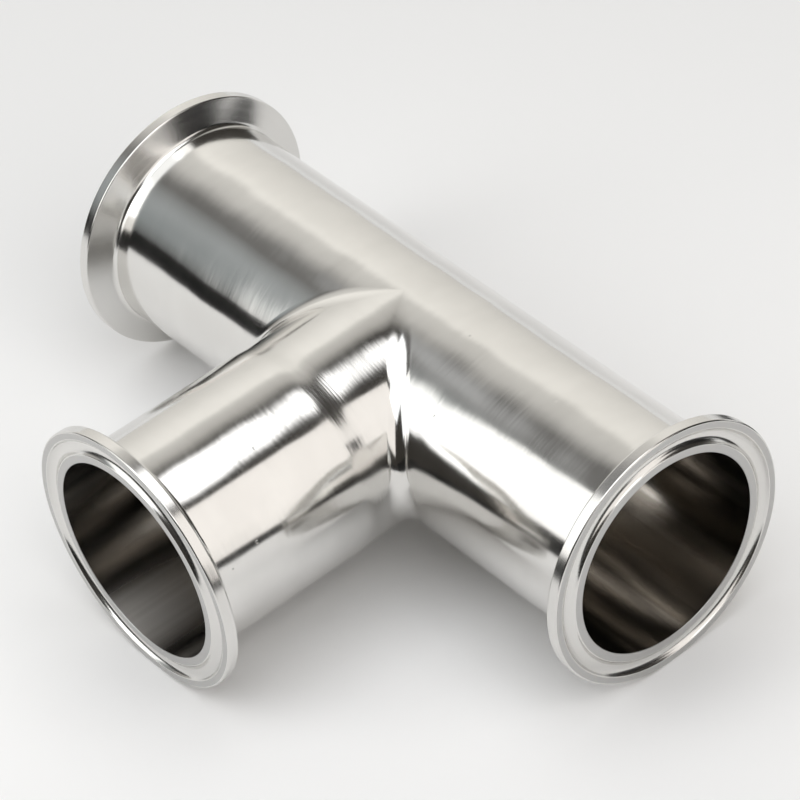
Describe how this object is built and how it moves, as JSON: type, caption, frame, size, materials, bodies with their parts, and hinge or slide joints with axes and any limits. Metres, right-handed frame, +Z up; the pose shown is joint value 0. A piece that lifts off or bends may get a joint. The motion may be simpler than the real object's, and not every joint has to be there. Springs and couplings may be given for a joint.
{
  "type": "sanitary clamp tee",
  "caption": "Polished stainless tube tee with equal legs, drawn branch and a grooved clamp ferrule on every port, for joining sanitary process lines.",
  "frame": {"origin": "the point where the axes of the run and the branch cross", "axes": "+X along the run, -Y along the branch out of its port, +Z up, at right angles to all three ports"},
  "size_m": [0.163, 0.1125, 0.064],
  "materials": {
    "polished_steel": "mirror-polished stainless steel outside, satin turned sealing faces, duller bores"
  },
  "bodies": {
    "root": {"clamp_tee": "polished_steel"}
  },
  "joints": []
}
